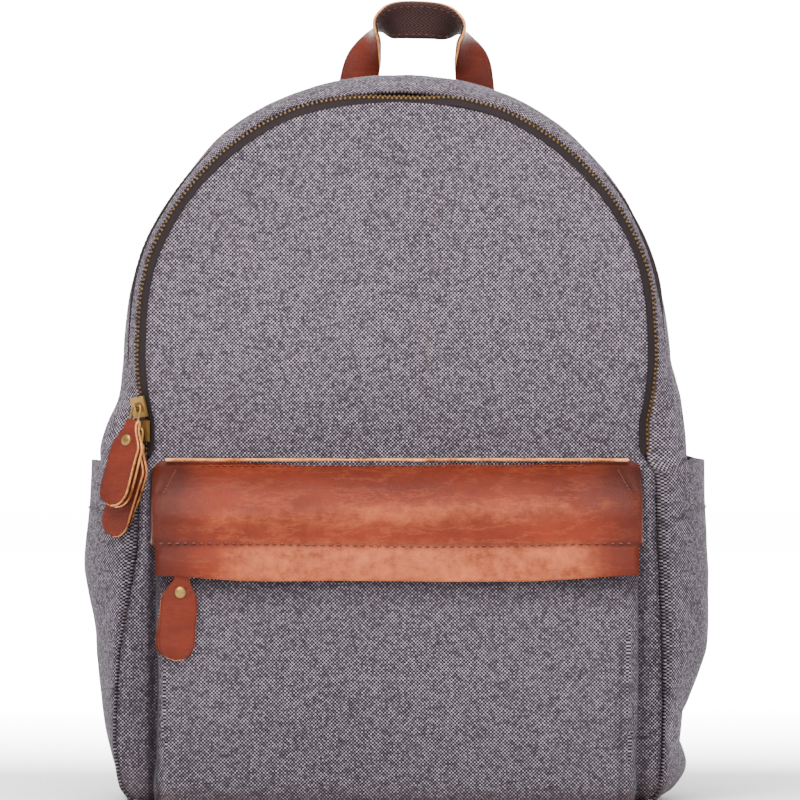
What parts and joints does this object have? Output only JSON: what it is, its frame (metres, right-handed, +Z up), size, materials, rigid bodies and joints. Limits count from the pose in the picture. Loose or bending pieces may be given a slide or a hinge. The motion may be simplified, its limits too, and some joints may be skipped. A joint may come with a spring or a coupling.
{
  "type": "travel backpack",
  "caption": "Grey canvas travel backpack with leather trim, arched zip opening, zipped front pocket, open side pockets, carry handle and padded shoulder straps.",
  "frame": {"origin": "centre of the base, on the surface the bag stands on", "axes": "+Z up, -Y the front with the pocket, +Y the back with the shoulder straps, +X to the right seen from the front"},
  "size_m": [0.362, 0.2187, 0.463],
  "materials": {
    "canvas": "heathered washed canvas, matt",
    "leather": "waxed pull-up leather, satin, tan raw edges",
    "hardware": "antique brass",
    "zip_tape": "dark brown woven tape",
    "lining": "plain cotton lining",
    "foam": "matt foam",
    "board": "stiff board, matt",
    "webbing": "herringbone cotton webbing",
    "plastic": "moulded black plastic, satin"
  },
  "bodies": {
    "bag": {"back_panel": "canvas", "base_panel": "canvas", "gusset_arch": "canvas", "side_panel_left": "canvas", "side_panel_right": "canvas", "front_panel_lower": "canvas", "front_strip_left": "canvas", "front_strip_right": "canvas", "zip_end_left": "canvas", "zip_end_right": "canvas", "pocket_front": "canvas", "pocket_gusset": "canvas", "side_pocket_left": "canvas", "side_pocket_right": "canvas", "strap_tab_left": "canvas", "strap_tab_right": "canvas", "pocket_leather": "leather", "handle_anchor": "leather", "strap_yoke": "leather", "zip_teeth_body": "hardware", "zip_tape_body": "zip_tape", "pocket_zip_upper": "zip_tape", "pocket_zip_lower": "zip_tape", "back_lining": "lining", "laptop_sleeve": "lining", "base_lining": "lining", "gusset_lining": "lining", "back_foam": "foam", "base_board": "board"},
    "upper_slider": {"upper_slider": "hardware"},
    "upper_pull": {"upper_ring": "hardware", "upper_tab": "leather", "upper_rivet": "hardware"},
    "lower_slider": {"lower_slider": "hardware"},
    "lower_pull": {"lower_ring": "hardware", "lower_tab": "leather", "lower_rivet": "hardware"},
    "pocket_slider": {"pocket_slider": "hardware"},
    "pocket_pull": {"pocket_ring": "hardware", "pocket_tab": "leather", "pocket_rivet": "hardware"},
    "front_flap": {"front_panel_upper": "canvas", "front_lining": "lining", "zip_tape_flap": "zip_tape", "zip_teeth_flap": "hardware"},
    "storm_flap": {"storm_flap": "leather"},
    "handle": {"handle_webbing": "webbing", "handle_leather": "leather"},
    "strap_left": {"strap_pad_left": "canvas", "strap_lock_left": "plastic", "strap_web_left": "webbing"},
    "strap_right": {"strap_pad_right": "canvas", "strap_lock_right": "plastic", "strap_web_right": "webbing"}
  },
  "joints": [
    {"name": "upper_slider_travel", "type": "hinge", "parent": "bag", "child": "upper_slider", "pos_m": [0, -0.059, 0.2595], "axis": [0, 1, 0], "range_deg": [0, 200]},
    {"name": "upper_pull_lift", "type": "hinge", "parent": "upper_slider", "child": "upper_pull", "pos_m": [-0.14921, -0.06193, 0.22833], "axis": [-0.7215, 0.683, 0.1137], "range_deg": [0, 110]},
    {"name": "lower_slider_travel", "type": "slide", "parent": "bag", "child": "lower_slider", "axis": [0, 0, -1], "range_m": [0, 0.009]},
    {"name": "lower_pull_swing", "type": "hinge", "parent": "lower_slider", "child": "lower_pull", "pos_m": [-0.14734, -0.06193, 0.215], "axis": [-0.7071, -0.7071, 0], "range_deg": [-3, 8]},
    {"name": "pocket_slider_travel", "type": "slide", "parent": "bag", "child": "pocket_slider", "axis": [1, 0, 0], "range_m": [0, 0.244]},
    {"name": "pocket_pull_swing", "type": "hinge", "parent": "pocket_slider", "child": "pocket_pull", "pos_m": [-0.122, -0.10215, 0.141], "axis": [0, 1, 0], "range_deg": [-20, 20]},
    {"name": "front_flap_open", "type": "hinge", "parent": "bag", "child": "front_flap", "pos_m": [0, -0.068, 0.252], "axis": [1, 0, 0], "range_deg": [0, 100]},
    {"name": "storm_flap_lift", "type": "hinge", "parent": "bag", "child": "storm_flap", "pos_m": [0, -0.1015, 0.151], "axis": [-1, 0, 0], "range_deg": [0, 95]},
    {"name": "handle_fold", "type": "hinge", "parent": "bag", "child": "handle", "pos_m": [0.012, 0.058, 0.4168], "axis": [1, 0, 0], "range_deg": [-70, 70]},
    {"name": "strap_left_swing", "type": "hinge", "parent": "bag", "child": "strap_left", "pos_m": [-0.045, 0.0735, 0.392], "axis": [1, 0, 0], "range_deg": [0, 14]},
    {"name": "strap_right_swing", "type": "hinge", "parent": "bag", "child": "strap_right", "pos_m": [0.045, 0.0735, 0.392], "axis": [1, 0, 0], "range_deg": [0, 14]}
  ]
}
